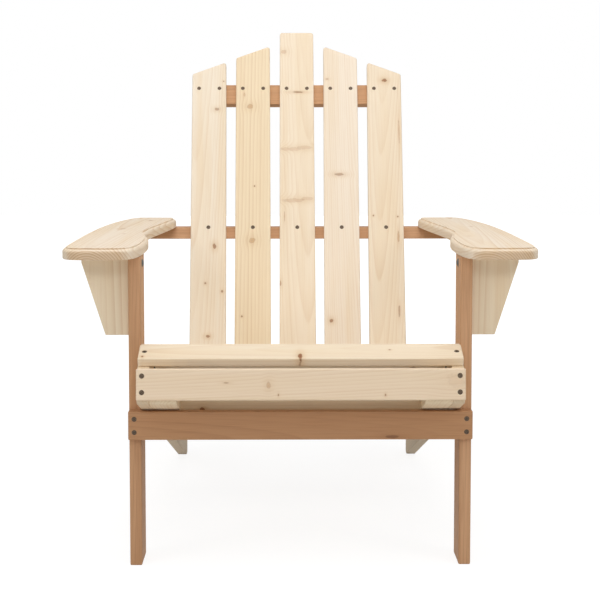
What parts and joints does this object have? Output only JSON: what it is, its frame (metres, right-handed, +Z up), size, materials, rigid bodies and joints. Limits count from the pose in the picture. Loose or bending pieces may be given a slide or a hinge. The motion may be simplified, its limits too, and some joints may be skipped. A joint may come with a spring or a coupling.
{
  "type": "wooden armchair",
  "caption": "Low slatted garden armchair with a fanned, reclined back, a seat that slopes to the rear and wide shaped wooden arms.",
  "frame": {"origin": "on the floor, at the middle of the chair's outline seen from above", "axes": "+X to the right as seen from the front, +Y to the rear, +Z up"},
  "size_m": [0.74, 0.9048, 0.888],
  "materials": {
    "softwood": "sanded, unfinished pale fir with knots",
    "shaded_softwood": "sanded, unfinished fir",
    "hardwood": "sanded, unfinished reddish-brown hardwood",
    "dowel_wood": "plain beech",
    "screw_steel": "dark plated, satin",
    "bolt_steel": "zinc plated, satin"
  },
  "bodies": {
    "root": {"front_leg_left": "hardwood", "front_leg_right": "hardwood", "front_apron": "hardwood", "front_cross_rail": "shaded_softwood", "side_rail_left": "softwood", "side_rail_right": "softwood", "nose_block_left": "shaded_softwood", "nose_block_right": "shaded_softwood", "front_slat": "softwood", "seat_slat_1": "softwood", "seat_slat_2": "softwood", "seat_slat_3": "softwood", "seat_slat_4": "softwood", "seat_slat_5": "softwood", "seat_slat_6": "softwood", "seat_slat_7": "softwood", "seat_slat_8": "softwood", "seat_slat_9": "softwood", "seat_slat_10": "softwood", "back_slat_1": "softwood", "back_slat_2": "softwood", "back_slat_3": "softwood", "back_slat_4": "softwood", "back_slat_5": "softwood", "top_batten": "hardwood", "arm_rail": "hardwood", "lower_back_rail": "hardwood", "arm_bracket_left": "softwood", "arm_bracket_right": "softwood", "arm_left": "softwood", "arm_right": "softwood", "apron_screws": "screw_steel", "front_slat_screws": "screw_steel", "seat_slat_screws": "screw_steel", "nose_block_screws": "screw_steel", "cross_rail_screws": "screw_steel", "top_batten_screws": "screw_steel", "arm_rail_screws": "screw_steel", "lower_rail_slat_screws": "screw_steel", "lower_rail_end_screws": "screw_steel", "arm_end_screws": "screw_steel", "arm_dowels": "dowel_wood", "bracket_bolts": "bolt_steel", "leg_bolts": "bolt_steel", "leg_washers": "bolt_steel", "leg_inserts": "bolt_steel"}
  },
  "joints": []
}
